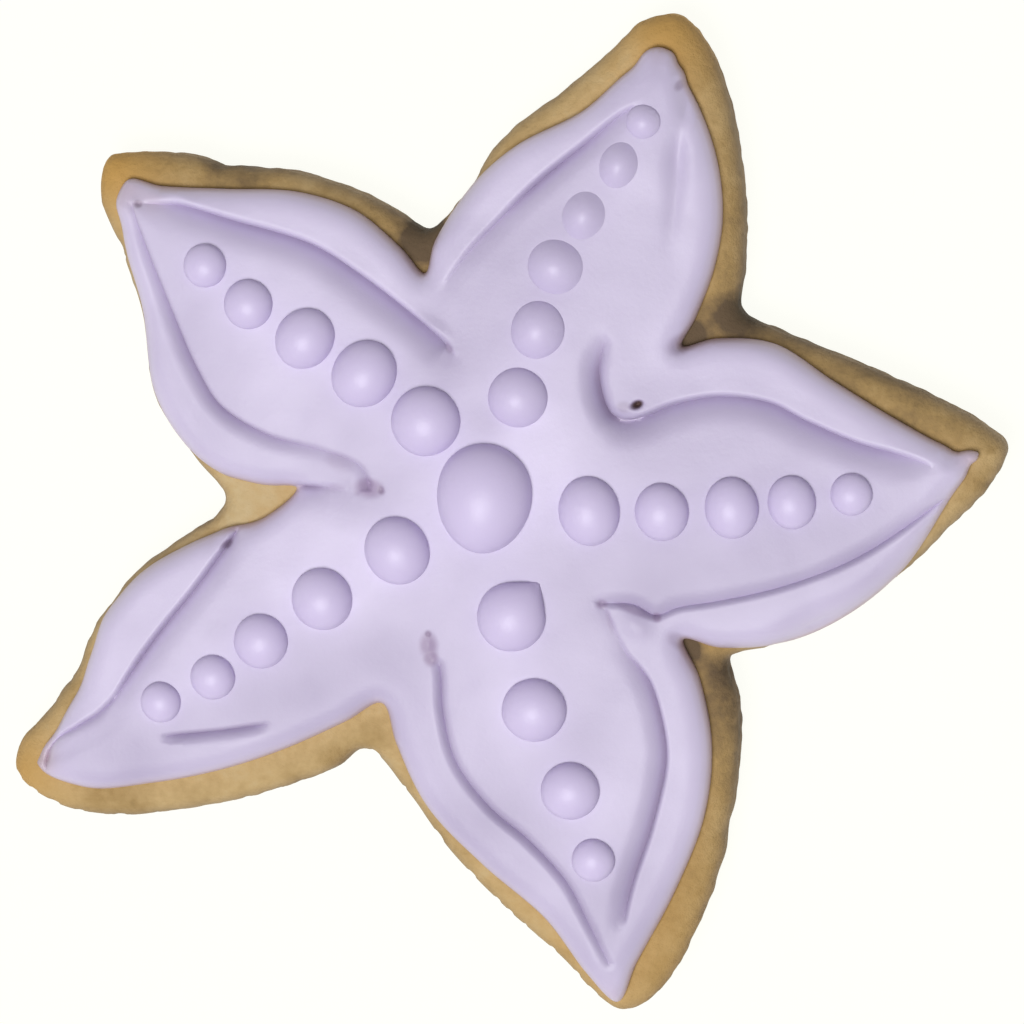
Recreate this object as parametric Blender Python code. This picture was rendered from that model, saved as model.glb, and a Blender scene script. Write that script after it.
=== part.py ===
"""Iced sugar cookie: a five-armed starfish biscuit, flooded with icing and dotted with piped beads.

The cookie lies flat on z = 0 with its iced face up, +Y towards its upper arm. The origin is the
bottom centre of its bounding box. Sizes below are in millimetres and times MM gives metres.
"""

import math
from dataclasses import dataclass

import bmesh
import bpy
import numpy as np
from mathutils import Matrix, Vector
from mathutils.geometry import delaunay_2d_cdt

MM = 0.001

# Biscuit, from the baking sheet up.
BISCUIT_THICKNESS = 7.0
BISCUIT_SHOULDER = 1.6  # how far in from the edge the baked top starts to round over
BISCUIT_SHOULDER_DROP = 1.5  # how much lower the top is at the edge
BISCUIT_FOOT = 0.7  # how far in the foot tucks under the bulging wall
BISCUIT_WALL = ((0.0, 1.0), (0.5, 0.4), (1.7, 0.0), (4.0, 0.0))  # height, share of the foot's tuck
SHOULDER_ANGLES = (20.0, 50.0, 90.0)  # of the shoulder's arc, from the wall to the flat top

# Icing, measured from the biscuit's top.
LAYER_GAP = 0.3  # clearance between two solids that touch
ICING_EDGE = 0.5  # upright rim where the flood stopped
ICING_SHOULDER = (1.5, 2.0)  # rise, and the distance over which it rises
ICING_CROWN = (1.1, 16.0)
CREASE_DEPTH = 1.3
CREASE_REACH = 2.3  # how far to each side the rounded edges of a crease go
CREASE_MARGIN = 1.0  # a crease's own line stops this far from the icing's edge and from other creases

# Piped beads.
BEAD_HEIGHT_SHARE = 0.7  # of the bead's mean radius
CENTRE_BEAD = (4.8, 5.4)

# Fineness of the facets.
BISCUIT_STEP = 3.0
ICING_STEP = 2.2
SHEET_STEP = 2.05
SHOULDER_ROWS = ((0.14, 0.9), (0.5, 0.7), (1.0, 1.3))  # share of the icing's shoulder, least spacing
CREASE_ROWS = ((0.3, 0.5), (1.0, 1.2))  # share of a crease's reach, least spacing
UNDERSIDE_ROWS = (0.25, 0.6, 1.2)  # shares of the biscuit's shoulder
UNDERSIDE_SPACING = 0.35
BEAD_SEGMENTS = 14
BEAD_RINGS = 6

# A flank's widths are given at these shares of the way from its valley to the arm's tip.
BISCUIT_STATIONS = (0.15, 0.38, 0.60, 0.80, 0.94)
ICING_STATIONS = (0.12, 0.32, 0.52, 0.72, 0.90)


@dataclass(frozen=True)
class Arm:
    """One arm, in its own frame: along runs from the star's centre to the tip, across to the left.

    The arms stand in anticlockwise order, and a valley lies on its arm's left, as (radius, bearing).
    A bead is (along, across, half length, half width), and the first bead is the innermost.
    A crease is a line of (along, across, share of the full crease depth).
    """

    name: str
    heading: float
    biscuit_reach: float
    biscuit_left: tuple
    biscuit_right: tuple
    biscuit_valley: tuple
    icing_reach: float
    icing_left: tuple
    icing_right: tuple
    icing_valley: tuple
    beads: tuple
    creases: tuple

    def axes(self):
        angle = math.radians(self.heading)
        along = np.array((math.cos(angle), math.sin(angle)))
        return along, np.array((-along[1], along[0]))

    def place(self, along, across):
        """The star's (x, y) of a place in the arm's frame."""
        axis, side = self.axes()
        return axis * along + side * across


RIGHT_ARM = Arm(
    name="right",
    heading=5.5,
    biscuit_reach=52.2,
    biscuit_left=(13.7, 10.7, 7.8, 4.9, 2.3),
    biscuit_right=(17.7, 15.3, 11.6, 7.0, 3.2),
    biscuit_valley=(31.6, 36.7),
    icing_reach=50.0,
    icing_left=(13.7, 13.0, 8.8, 4.2, 0.8),
    icing_right=(17.3, 17.2, 14.9, 10.5, 3.8),
    icing_valley=(24.7, 37.5),
    beads=(
        (10.7, -2.1, 3.1, 3.5),
        (18.0, -2.8, 2.7, 2.9),
        (25.0, -3.0, 2.7, 3.1),
        (31.0, -3.0, 2.4, 2.7),
        (37.0, -2.7, 2.1, 2.1),
    ),
    creases=(
        (
            (13.8, 14.4, 0.3), (12.9, 11.9, 0.9), (12.9, 9.3, 1.2), (13.6, 7.3, 1.2),
            (14.8, 6.6, 1.1), (17.0, 6.8, 0.8), (20.1, 7.7, 0.5), (24.6, 8.1, 0.4),
            (29.6, 7.0, 0.7), (33.2, 4.8, 0.9), (38.1, 2.2, 0.9), (43.1, 0.4, 0.7), (46.0, -0.8, 0.4),
        ),
        (
            (46.6, -2.8, 0.5), (42.5, -5.1, 0.8), (38.4, -7.8, 0.9), (34.3, -9.9, 0.9),
            (28.4, -11.7, 0.9), (22.4, -12.5, 0.8), (18.6, -12.8, 0.6), (16.1, -13.4, 0.7),
            (13.9, -12.1, 0.6), (10.8, -11.7, 0.5),
        ),
    ),
)

UPPER_ARM = Arm(
    name="upper",
    heading=68.0,
    biscuit_reach=52.0,
    biscuit_left=(13.5, 11.9, 8.3, 5.0, 2.9),
    biscuit_right=(15.5, 13.4, 10.5, 7.1, 3.5),
    biscuit_valley=(27.5, 103.2),
    icing_reach=48.6,
    icing_left=(14.3, 12.9, 10.2, 5.0, 2.4),
    icing_right=(13.0, 13.0, 12.0, 8.8, 4.5),
    icing_valley=(23.3, 105.2),
    beads=(
        (10.9, 0.4, 3.0, 3.0),
        (18.0, 1.0, 2.9, 2.7),
        (24.5, 1.7, 2.7, 2.8),
        (30.3, 0.9, 2.4, 2.1),
        (36.2, -0.5, 2.3, 1.9),
        (41.1, -1.2, 1.7, 1.7),
    ),
    creases=(
        (
            (42.0, 0.4, 0.3), (40.7, 1.4, 0.7), (37.2, 3.4, 1.0), (31.6, 6.6, 1.0),
            (26.7, 8.8, 0.7), (22.8, 10.4, 0.4), (19.0, 11.5, 0.1),
        ),
        ((46.2, -3.1, 0.7), (44.7, -3.7, 0.5), (40.4, -4.5, 0.5), (35.6, -6.0, 0.35), (30.5, -7.4, 0.1)),
    ),
)

UPPER_LEFT_ARM = Arm(
    name="upper_left",
    heading=139.0,
    biscuit_reach=52.0,
    biscuit_left=(16.8, 14.5, 8.9, 5.4, 2.8),
    biscuit_right=(15.2, 12.9, 8.8, 5.3, 1.8),
    biscuit_valley=(27.6, 181.4),
    icing_reach=49.0,
    icing_left=(15.6, 16.5, 14.4, 8.4, 4.5),
    icing_right=(13.2, 12.8, 10.5, 5.7, 1.7),
    icing_valley=(20.2, 178.0),
    beads=(
        (9.4, -2.2, 3.5, 3.5),
        (17.2, -1.7, 3.2, 3.5),
        (24.1, -0.4, 2.9, 3.2),
        (30.7, 0.8, 2.5, 2.5),
        (36.6, 0.8, 2.2, 2.2),
    ),
    creases=(
        (
            (46.3, 0.6, 0.3), (43.5, -2.2, 0.8), (38.0, -4.4, 1.0), (30.0, -8.0, 0.9),
            (24.5, -8.9, 0.8), (17.0, -9.4, 0.6), (12.5, -9.5, 0.2),
        ),
        (
            (46.7, 1.6, 0.3), (43.3, 3.6, 0.7), (36.5, 7.2, 1.0), (30.6, 10.0, 1.1), (26.5, 11.2, 1.0),
            (20.7, 10.2, 0.7), (15.5, 7.6, 0.5), (11.7, 6.2, 0.6), (9.5, 7.0, 1.1),
        ),
    ),
)

LOWER_LEFT_ARM = Arm(
    name="lower_left",
    heading=210.5,
    biscuit_reach=58.3,
    biscuit_left=(15.8, 14.5, 12.1, 9.2, 5.2),
    biscuit_right=(12.0, 11.3, 7.9, 4.1, 2.5),
    biscuit_valley=(29.6, 243.4),
    icing_reach=56.0,
    icing_left=(12.5, 11.8, 10.4, 8.0, 4.6),
    icing_right=(10.3, 11.0, 9.8, 6.2, 2.3),
    icing_valley=(22.8, 242.6),
    beads=(
        (10.2, 0.1, 3.3, 3.5),
        (19.5, 0.5, 3.1, 3.2),
        (27.3, 1.0, 2.8, 2.8),
        (33.6, 1.7, 2.3, 2.3),
        (39.7, 1.2, 2.1, 2.1),
    ),
    creases=(
        (
            (19.0, -10.7, 0.5), (23.3, -10.5, 0.7), (25.9, -9.3, 1.3), (30.6, -7.3, 1.1),
            (35.9, -5.4, 1.0), (39.6, -3.9, 1.0), (42.5, -2.5, 0.8), (45.0, -1.3, 0.6),
            (48.5, -1.1, 0.5), (52.0, -1.2, 0.2),
        ),
        (
            (41.9, 4.4, 0.6), (36.3, 6.8, 0.9), (31.3, 8.9, 0.8), (28.3, 8.2, 0.3),
            (23.6, 8.0, 0.25), (18.9, 8.3, 0.1),
        ),
        ((16.0, -10.3, 0.9), (14.6, -9.5, 0.6), (13.0, -8.5, 0.2)),
    ),
)

LOWER_ARM = Arm(
    name="lower",
    heading=284.0,
    biscuit_reach=54.4,
    biscuit_left=(19.2, 17.1, 13.8, 9.5, 5.2),
    biscuit_right=(16.3, 13.2, 9.1, 4.6, 1.9),
    biscuit_valley=(29.3, 325.6),
    icing_reach=53.3,
    icing_left=(15.9, 15.8, 13.3, 8.3, 3.0),
    icing_right=(15.4, 14.4, 10.5, 5.3, 2.3),
    icing_valley=(24.3, 323.8),
    beads=(
        (12.2, -0.1, 3.5, 3.5),
        (21.9, -0.2, 3.2, 3.3),
        (30.7, 1.3, 2.9, 3.0),
        (38.1, 1.8, 2.2, 2.2),
    ),
    creases=(
        (
            (20.5, 11.0, 0.6), (22.0, 11.7, 0.9), (26.8, 11.9, 1.1), (30.1, 11.3, 1.1),
            (35.8, 8.5, 1.1), (40.8, 5.3, 1.0), (43.1, 4.0, 0.9), (44.6, 3.3, 0.6),
        ),
        (
            (11.5, -8.9, 1.2), (13.5, -9.2, 1.1), (16.5, -9.2, 0.8), (19.8, -9.9, 1.0),
            (25.2, -9.7, 1.1), (30.5, -7.7, 1.0), (35.0, -4.5, 0.9), (39.8, -1.9, 0.9),
            (44.5, -0.7, 0.8), (48.9, 0.3, 0.3),
        ),
    ),
)

ARMS = (RIGHT_ARM, UPPER_ARM, UPPER_LEFT_ARM, LOWER_LEFT_ARM, LOWER_ARM)


# Lines and distances in plan, in millimetres.


def spline(points, closed, step, least=1):
    """A centripetal Catmull-Rom curve through every point, with about one vertex every step.

    A span between two points has at least so many pieces.
    """
    points = np.asarray(points, float)
    count = len(points)
    if closed:
        padded = np.concatenate([points[-1:], points, points[:2]])
    else:
        first = 2 * points[:1] - points[1:2]
        last = 2 * points[-1:] - points[-2:-1]
        padded = np.concatenate([first, points, last])
    curve = []
    for i in range(count if closed else count - 1):
        p0, p1, p2, p3 = padded[i : i + 4]
        spans = np.linalg.norm(np.diff(padded[i : i + 4, :2], axis=0), axis=1)
        knots = np.concatenate([[0.0], np.cumsum(np.sqrt(spans))])
        pieces = max(least, round(spans[1] / step))
        for t in np.linspace(knots[1], knots[2], pieces, endpoint=False):
            a1 = blend(p0, p1, knots[0], knots[1], t)
            a2 = blend(p1, p2, knots[1], knots[2], t)
            a3 = blend(p2, p3, knots[2], knots[3], t)
            b1 = blend(a1, a2, knots[0], knots[2], t)
            b2 = blend(a2, a3, knots[1], knots[3], t)
            curve.append(blend(b1, b2, knots[1], knots[2], t))
    if not closed:
        curve.append(points[-1])
    return np.array(curve)


def blend(start, end, from_knot, to_knot, knot):
    share = (knot - from_knot) / (to_knot - from_knot)
    return start + (end - start) * share


def polar(radius, bearing):
    angle = math.radians(bearing)
    return np.array((radius * math.cos(angle), radius * math.sin(angle)))


def flank(arm, valley, reach, stations, widths, side):
    """Points of one side of an arm, from near its valley to near its tip."""
    axis, _ = arm.axes()
    start = float(valley @ axis)
    points = []
    for share, width in zip(stations, widths):
        points.append(arm.place(start + share * (reach - start), side * width))
    return points


def star_outline(layer, stations, step):
    """The closed outline of the biscuit or the icing, anticlockwise."""
    valleys = [polar(*getattr(arm, layer + "_valley")) for arm in ARMS]
    points = []
    for i, arm in enumerate(ARMS):
        reach = getattr(arm, layer + "_reach")
        right = flank(arm, valleys[i - 1], reach, stations, getattr(arm, layer + "_right"), -1)
        left = flank(arm, valleys[i], reach, stations, getattr(arm, layer + "_left"), 1)
        points += right + [arm.place(reach, 0.0)] + left[::-1] + [valleys[i]]
    return spline(points, True, step, least=2)


def nearest_on_path(points, path, closed):
    """For each point, the distance to the path and the place on it, counted in path vertices."""
    starts = path if closed else path[:-1]
    ends = np.roll(path, -1, axis=0) if closed else path[1:]
    runs = (ends - starts)[:, :2]
    offsets = points[:, None, :2] - starts[None, :, :2]
    shares = np.clip((offsets * runs).sum(axis=2) / (runs**2).sum(axis=1), 0.0, 1.0)
    gaps = np.linalg.norm(offsets - shares[..., None] * runs, axis=2)
    index = gaps.argmin(axis=1)
    rows = np.arange(len(points))
    return gaps[rows, index], index + shares[rows, index]


def is_inside(points, outline):
    """Whether each point is inside the closed outline, by counting crossings to its right."""
    x, y = points[:, :1], points[:, 1:2]
    ends = np.roll(outline, -1, axis=0)
    straddles = (outline[:, 1] > y) != (ends[:, 1] > y)
    rises = np.where(ends[:, 1] == outline[:, 1], 1.0, ends[:, 1] - outline[:, 1])
    crossing_x = outline[:, 0] + (y - outline[:, 1]) / rises * (ends[:, 0] - outline[:, 0])
    return (straddles & (x < crossing_x)).sum(axis=1) % 2 == 1


def inset(outline, distance):
    """The outline moved inwards along its corners' normals."""
    run = np.roll(outline, -1, axis=0) - np.roll(outline, 1, axis=0)
    normal = np.stack([-run[:, 1], run[:, 0]], axis=1)
    return outline + normal / np.linalg.norm(normal, axis=1, keepdims=True) * distance


BISCUIT_OUTLINE = star_outline("biscuit", BISCUIT_STATIONS, BISCUIT_STEP)
ICING_OUTLINE = star_outline("icing", ICING_STATIONS, ICING_STEP)


def crease_lines(step):
    """Each crease as a smooth line of (x, y, share of the full depth)."""
    lines = []
    for arm in ARMS:
        for crease in arm.creases:
            points = [(*arm.place(along, across), share) for along, across, share in crease]
            lines.append(spline(points, False, step))
    return lines


CREASES = crease_lines(SHEET_STEP)


# Heights, in millimetres, of places given in plan.


def rounded(distance, reach):
    """A quarter-circle rise from 0 at no distance to 1 at the reach."""
    short = 1.0 - np.clip(distance / reach, 0.0, 1.0)
    return np.sqrt(1.0 - short**2)


def biscuit_top(points):
    gap, _ = nearest_on_path(points, BISCUIT_OUTLINE, True)
    gap = np.where(is_inside(points, BISCUIT_OUTLINE), gap, 0.0)
    return BISCUIT_THICKNESS - BISCUIT_SHOULDER_DROP * (1.0 - rounded(gap, BISCUIT_SHOULDER))


def crease_drop(points):
    """How deep the creases cut at each place: a sharp line between two rounded edges."""
    drop = np.zeros(len(points))
    for line in CREASES:
        gap, along = nearest_on_path(points, line, False)
        share = np.interp(along, np.arange(len(line)), line[:, 2])
        drop = np.maximum(drop, share * (1.0 - rounded(gap, CREASE_REACH)))
    return CREASE_DEPTH * drop


def icing_top(points):
    points = np.atleast_2d(points)
    gap, _ = nearest_on_path(points, ICING_OUTLINE, True)
    shoulder = ICING_SHOULDER[0] * rounded(gap, ICING_SHOULDER[1])
    crown = ICING_CROWN[0] * rounded(gap, ICING_CROWN[1])
    room = rounded(gap, ICING_SHOULDER[1])
    thickness = ICING_EDGE + shoulder + crown - crease_drop(points) * room
    return biscuit_top(points) + LAYER_GAP + thickness


# Meshes.


def new_object(name, bm, material, parent, smooth_angle):
    bmesh.ops.recalc_face_normals(bm, faces=bm.faces)
    mesh = bpy.data.meshes.new(name)
    bm.to_mesh(mesh)
    bm.free()
    mesh.shade_smooth()
    mesh.set_sharp_from_angle(angle=math.radians(smooth_angle))
    mesh.materials.append(material)
    obj = bpy.data.objects.new(name, mesh)
    obj.parent = parent
    bpy.context.scene.collection.objects.link(obj)
    return obj


def add_ring(bm, outline, height):
    heights = np.broadcast_to(height, len(outline))
    return [bm.verts.new((x * MM, y * MM, z * MM)) for (x, y), z in zip(outline, heights)]


def bridge(bm, lower, upper):
    for i, vert in enumerate(lower):
        after = (i + 1) % len(lower)
        bm.faces.new((vert, lower[after], upper[after], upper[i]))


def biscuit_mesh():
    """A baked slab: a tucked foot, a slightly bulging wall, a rounded shoulder and a flat top."""
    bm = bmesh.new()
    rings = []
    for height, tuck in BISCUIT_WALL:
        rings.append(add_ring(bm, inset(BISCUIT_OUTLINE, BISCUIT_FOOT * tuck), height))
    for angle in map(math.radians, SHOULDER_ANGLES):
        height = BISCUIT_THICKNESS - BISCUIT_SHOULDER_DROP * (1.0 - math.sin(angle))
        setback = BISCUIT_SHOULDER * (1.0 - math.cos(angle))
        rings.append(add_ring(bm, inset(BISCUIT_OUTLINE, setback), height))
    for lower, upper in zip(rings, rings[1:]):
        bridge(bm, lower, upper)
    bm.faces.new(rings[0])
    bm.faces.new(rings[-1])
    return bm


def spaced(candidates, kept, least):
    """The candidates that stand at least so far from the kept points and from one another."""
    chosen = []
    taken = np.array(kept)
    for point in candidates:
        if np.linalg.norm(taken - point, axis=1).min() >= least:
            chosen.append(point)
            taken = np.vstack([taken, point])
    return chosen


def hexagonal_grid(low, high, step):
    """Staggered rows of points over a rectangle."""
    rows = []
    for row, y in enumerate(np.arange(low[1], high[1], step * math.sqrt(0.75))):
        shift = (row % 2) * step / 2
        rows += [(x, y) for x in np.arange(low[0] + shift, high[0], step)]
    return np.array(rows)


def triangulated(outline, inner_points, lines):
    """Points and triangles that fill an outline, with the outline's points first."""
    count = len(outline)
    points = [Vector(p[:2]) for p in list(outline) + list(inner_points)]
    edges = [(i, (i + 1) % count) for i in range(count)] + lines
    found, _, faces, origins, _, _ = delaunay_2d_cdt(points, edges, [], 1, 1e-5)
    order = sorted(range(len(found)), key=lambda i: min(origins[i], default=len(points)))
    place = {old: new for new, old in enumerate(order)}
    plan = np.array([found[i] for i in order])
    return plan, [tuple(place[i] for i in face) for face in faces]


def crease_vertices():
    """The creases' points inside the icing, and the edges that keep each crease an unbroken line."""
    points = []
    edges = []
    for crease in CREASES:
        gap, _ = nearest_on_path(crease, ICING_OUTLINE, True)
        inner = crease[(gap > CREASE_MARGIN) & is_inside(crease, ICING_OUTLINE), :2]
        first = len(points)
        points += spaced(inner, points, CREASE_MARGIN) if points else list(inner)
        edges += [(i, i + 1) for i in range(first, len(points) - 1)]
    return points, edges


def parallel_rows(lines, distance):
    """Points at a distance to either side of open lines."""
    rows = []
    for line in lines:
        run = np.gradient(line[:, :2], axis=0)
        normal = np.stack([-run[:, 1], run[:, 0]], axis=1)
        normal *= distance / np.linalg.norm(normal, axis=1, keepdims=True)
        rows += list(line[:, :2] + normal) + list(line[:, :2] - normal)
    return np.array(rows)


def inside_icing(points, margin):
    gap, _ = nearest_on_path(points, ICING_OUTLINE, True)
    return points[is_inside(points, ICING_OUTLINE) & (gap > margin)]


def icing_plan():
    """The icing's surface in plan: creases, rounded edges beside them, and an even grid between."""
    points, edges = crease_vertices()
    rise = ICING_SHOULDER[1]
    for share, apart in SHOULDER_ROWS:
        ring = inside_icing(inset(ICING_OUTLINE, rise * share), 0.9 * rise * share)
        points += spaced(ring, points, apart)
    for share, apart in CREASE_ROWS:
        rows = inside_icing(parallel_rows(CREASES, CREASE_REACH * share), 0.6 * rise)
        points += spaced(rows, points, apart)
    grid = hexagonal_grid(ICING_OUTLINE.min(axis=0), ICING_OUTLINE.max(axis=0), SHEET_STEP)
    points += spaced(inside_icing(grid, 1.2 * rise), points, 0.7 * SHEET_STEP)
    first = len(ICING_OUTLINE)
    return triangulated(ICING_OUTLINE, points, [(first + a, first + b) for a, b in edges])


def icing_mesh():
    """A puffed sheet of icing whose underside follows the biscuit's top."""
    bm = bmesh.new()
    count = len(ICING_OUTLINE)
    top_plan, top_faces = icing_plan()
    top = add_ring(bm, top_plan, icing_top(top_plan))
    under_points = []
    for share in UNDERSIDE_ROWS:
        ring = inset(ICING_OUTLINE, BISCUIT_SHOULDER * share)
        under_points += spaced(ring, under_points or ICING_OUTLINE, UNDERSIDE_SPACING)
    under_plan, under_faces = triangulated(ICING_OUTLINE, under_points, [])
    under = add_ring(bm, under_plan, biscuit_top(under_plan) + LAYER_GAP)
    for face in top_faces:
        bm.faces.new([top[i] for i in face])
    for face in under_faces:
        bm.faces.new([under[i] for i in face])
    bridge(bm, under[:count], top[:count])
    return bm


def bead_mesh(half_length, half_width):
    """Half an egg on a flat round foot, its length along X."""
    bm = bmesh.new()
    bmesh.ops.create_uvsphere(bm, u_segments=BEAD_SEGMENTS, v_segments=BEAD_RINGS, radius=1.0)
    whole = bm.verts[:] + bm.edges[:] + bm.faces[:]
    bmesh.ops.bisect_plane(bm, geom=whole, plane_co=(0, 0, 0), plane_no=(0, 0, 1), clear_inner=True)
    bmesh.ops.holes_fill(bm, edges=[edge for edge in bm.edges if edge.is_boundary], sides=0)
    height = BEAD_HEIGHT_SHARE * (half_length + half_width) / 2
    bmesh.ops.scale(bm, vec=(half_length * MM, half_width * MM, height * MM), verts=bm.verts)
    return bm


def bead(name, centre, half_length, half_width, heading, material, parent):
    """A bead seated on the icing, leaning with the surface under it."""
    reach = 0.3 * (half_length + half_width)
    heights = icing_top(centre + reach * np.array([(0, 0), (1, 0), (-1, 0), (0, 1), (0, -1)]))
    slope_x = (heights[1] - heights[2]) / (2 * reach)
    slope_y = (heights[3] - heights[4]) / (2 * reach)
    lean = Vector((-slope_x, -slope_y, 1.0)).normalized()
    tilt = Vector((0, 0, 1)).rotation_difference(lean).to_matrix()
    obj = new_object(name, bead_mesh(half_length, half_width), material, parent, 60)
    seat = max(heights[0], heights[1:].mean()) + LAYER_GAP
    obj.location = Vector((*centre, seat)) * MM
    obj.rotation_euler = (tilt @ Matrix.Rotation(math.radians(heading), 3, "Z")).to_euler()
    return obj


# Materials.


def material(name, colour, roughness):
    made = bpy.data.materials.new(name)
    made.use_nodes = True
    shader = made.node_tree.nodes["Principled BSDF"]
    shader.inputs["Base Color"].default_value = (*colour, 1.0)
    shader.inputs["Roughness"].default_value = roughness
    shader.inputs["Metallic"].default_value = 0.0
    return made


def baked_material():
    return material("golden_biscuit", (0.50, 0.31, 0.12), 0.85)


def icing_material():
    return material("lavender_icing", (0.68, 0.61, 0.80), 0.45)


def bead_material():
    return material("lavender_beads", (0.60, 0.52, 0.76), 0.45)


def clear_scene():
    for obj in list(bpy.data.objects):
        bpy.data.objects.remove(obj)


def build_cookie():
    cookie = bpy.data.objects.new("cookie", None)
    bpy.context.scene.collection.objects.link(cookie)
    middle = (BISCUIT_OUTLINE.min(axis=0) + BISCUIT_OUTLINE.max(axis=0)) / 2
    cookie.location = (-middle[0] * MM, -middle[1] * MM, 0.0)

    new_object("biscuit", biscuit_mesh(), baked_material(), cookie, 50)
    new_object("icing", icing_mesh(), icing_material(), cookie, 50)
    beads = bead_material()
    bead("bead_centre", np.zeros(2), *CENTRE_BEAD, 0.0, beads, cookie)
    for arm in ARMS:
        for number, (along, across, half_length, half_width) in enumerate(arm.beads, start=1):
            name = f"bead_{arm.name}_{number}"
            place = arm.place(along, across)
            bead(name, place, half_length, half_width, arm.heading, beads, cookie)


clear_scene()
build_cookie()
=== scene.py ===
"""Looks of the iced starfish cookie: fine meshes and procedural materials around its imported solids.

Tables hold millimetres, and MM turns them into metres. Heights count from the surface the cookie
lies on. A place in plan is (along, across) in an arm's own frame, or (x, y) from the star's centre.
"""

import math
from dataclasses import dataclass

import bmesh
import bpy
import numpy as np
from mathutils import Matrix, Vector, kdtree, noise
from mathutils.geometry import delaunay_2d_cdt


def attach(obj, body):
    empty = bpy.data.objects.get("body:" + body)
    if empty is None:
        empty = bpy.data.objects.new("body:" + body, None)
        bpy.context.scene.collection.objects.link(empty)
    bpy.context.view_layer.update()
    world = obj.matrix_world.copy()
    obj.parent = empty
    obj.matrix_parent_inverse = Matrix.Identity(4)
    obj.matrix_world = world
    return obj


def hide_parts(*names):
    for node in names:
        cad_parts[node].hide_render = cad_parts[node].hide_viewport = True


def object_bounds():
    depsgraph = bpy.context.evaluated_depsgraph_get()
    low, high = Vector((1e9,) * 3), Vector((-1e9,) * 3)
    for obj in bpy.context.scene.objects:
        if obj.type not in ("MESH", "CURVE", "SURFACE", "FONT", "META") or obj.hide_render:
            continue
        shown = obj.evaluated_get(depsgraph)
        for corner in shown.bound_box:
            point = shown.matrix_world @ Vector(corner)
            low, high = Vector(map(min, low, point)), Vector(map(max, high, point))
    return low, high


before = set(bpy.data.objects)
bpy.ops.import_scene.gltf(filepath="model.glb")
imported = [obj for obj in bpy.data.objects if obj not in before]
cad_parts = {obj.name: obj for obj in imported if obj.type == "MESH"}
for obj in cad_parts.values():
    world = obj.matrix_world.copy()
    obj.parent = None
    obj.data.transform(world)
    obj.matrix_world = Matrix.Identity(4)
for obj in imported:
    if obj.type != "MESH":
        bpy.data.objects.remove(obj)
CAD_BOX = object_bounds()

MM = 0.001

# Biscuit.
BISCUIT_MIDDLE = np.array((0.825, -2.271))  # the frame's origin, in the star's plan
BISCUIT_THICKNESS = 7.0
BISCUIT_SHOULDER = 2.6  # how far in from the edge the baked top starts to round over
BISCUIT_SHOULDER_DROP = 2.1
BISCUIT_FOOT = 1.2  # how far in the foot tucks under the wall
BISCUIT_FOOT_HEIGHT = 3.0
WALL_CRUMB = (0.16, 1.3)  # height and size of the lumps of the wall
CRUST = (0.08, 1.6, 7.5)  # the same for the top, and the seed of its noise
WALL_TOP = 6.6  # where the colour begins to turn into the duller wall's
WALL_FADE = 1.6  # how far down it takes to turn

# Icing, measured from the biscuit's top.
ICING_EDGE = 0.5  # how thick it is right at its edge
ICING_SHOULDER = (1.7, 2.2)  # rise, and the distance over which it rises
ICING_CROWN = (1.1, 16.0)  # the same for the gentle rise towards the middle
CREASE_DEPTH = 1.9
CREASE_HOLLOW = (2.5, 3.0)  # the powers that hollow its slopes, on the rim's and the mound's side
CREASE_JOIN = 4  # how sharply one crease takes over from another where they meet
GROOVE_SHADE_LINE = (0.1, 0.3)  # how far towards the mound the darkest line of painted shade lies, and its half width
PIT_REACH = 1.4  # how far a pit goes out, in its oval's radii
PIT_FADE = 0.9  # how much of that its painted shade takes to fade
PIT_BOWL = 1.5  # the power that hollows it
WAVES = ((0.06, 3.0, 1.5), (0.10, 8.0, 2.5))  # height, size and seed of the waves all over
THIN_EDGE = 0.35  # width of the see-through edge, whose tint is also a painted shadow line where the icing meets the biscuit
SINK = 0.3  # how far the icing and the beads go into what they stick to

# Piped beads.
BEAD_HEIGHT_SHARE = 0.74  # of the bead's mean radius
BEAD_UNEVENNESS = (0.02, 1.5)  # how uneven its outline is, and how busy the noise round it is
BEAD_SEAT = 0.3  # how far out it feels the icing's slope, as a share of its diameter
BEAD_SEED = 0.5  # of the noise round the centre bead, from which the others count on
ARM_SEEDS = 10.0  # how far apart the seeds of two arms are
SOFT_BEAD = (0.3, 1.5)  # how much lower the softest bead is, and how much more its foot spreads
CENTRE_BEAD = (5.55, 4.8, 0.0)  # half length, half width and softness
CENTRE_BEAD_PLACE = (0.2, 0.05)
CENTRE_BEAD_HEADING = -96.0
CENTRE_BEAD_TAPER = 0.08  # how much narrower it is at its lower end
PEAKED_BEAD = ("bead_lower_1", 51.0, 0.33)  # where its peak points, and how far it sticks out

# A flank's widths are given at these shares of the way from its valley to the arm's tip.
BISCUIT_STATIONS = (0.15, 0.38, 0.60, 0.80, 0.94)
ICING_STATIONS = (0.12, 0.32, 0.52, 0.72, 0.90)

# Fineness of the meshes. A spacing is how near a vertex may come to those before it, and a margin
# is how far inside an edge the vertices stop.
OUTLINE_STEP = 0.35
CREASE_STEP = 0.3
CREASE_SPACING = 0.15
CREASE_ROWS = (0.1, 0.2, 0.32, 0.46, 0.62, 0.8, 1.05)
CREASE_ROW_SPACING = (0.09, 0.06)  # at the crease, and its growth with each millimetre
CREASE_ROW_MARGIN = 0.4
PIT_STEP = 0.16
PIT_SPACING = 0.8 * PIT_STEP
DETAIL_MARGIN = 0.3  # of creases and pits
EDGE_ROWS = (0.04, 0.12, 0.25, 0.42, 0.65, 0.95, 1.3, 1.7)
EDGE_ROW_SPACING = 0.3
EDGE_ROW_MARGIN = 0.9  # as a share of the row's own distance from the edge
SHEET_STEP = 0.4
SHEET_SPACING = 0.7 * SHEET_STEP
SHEET_MARGIN = 1.0
BARE_MARGIN = 1.9  # of the biscuit's top
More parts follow.
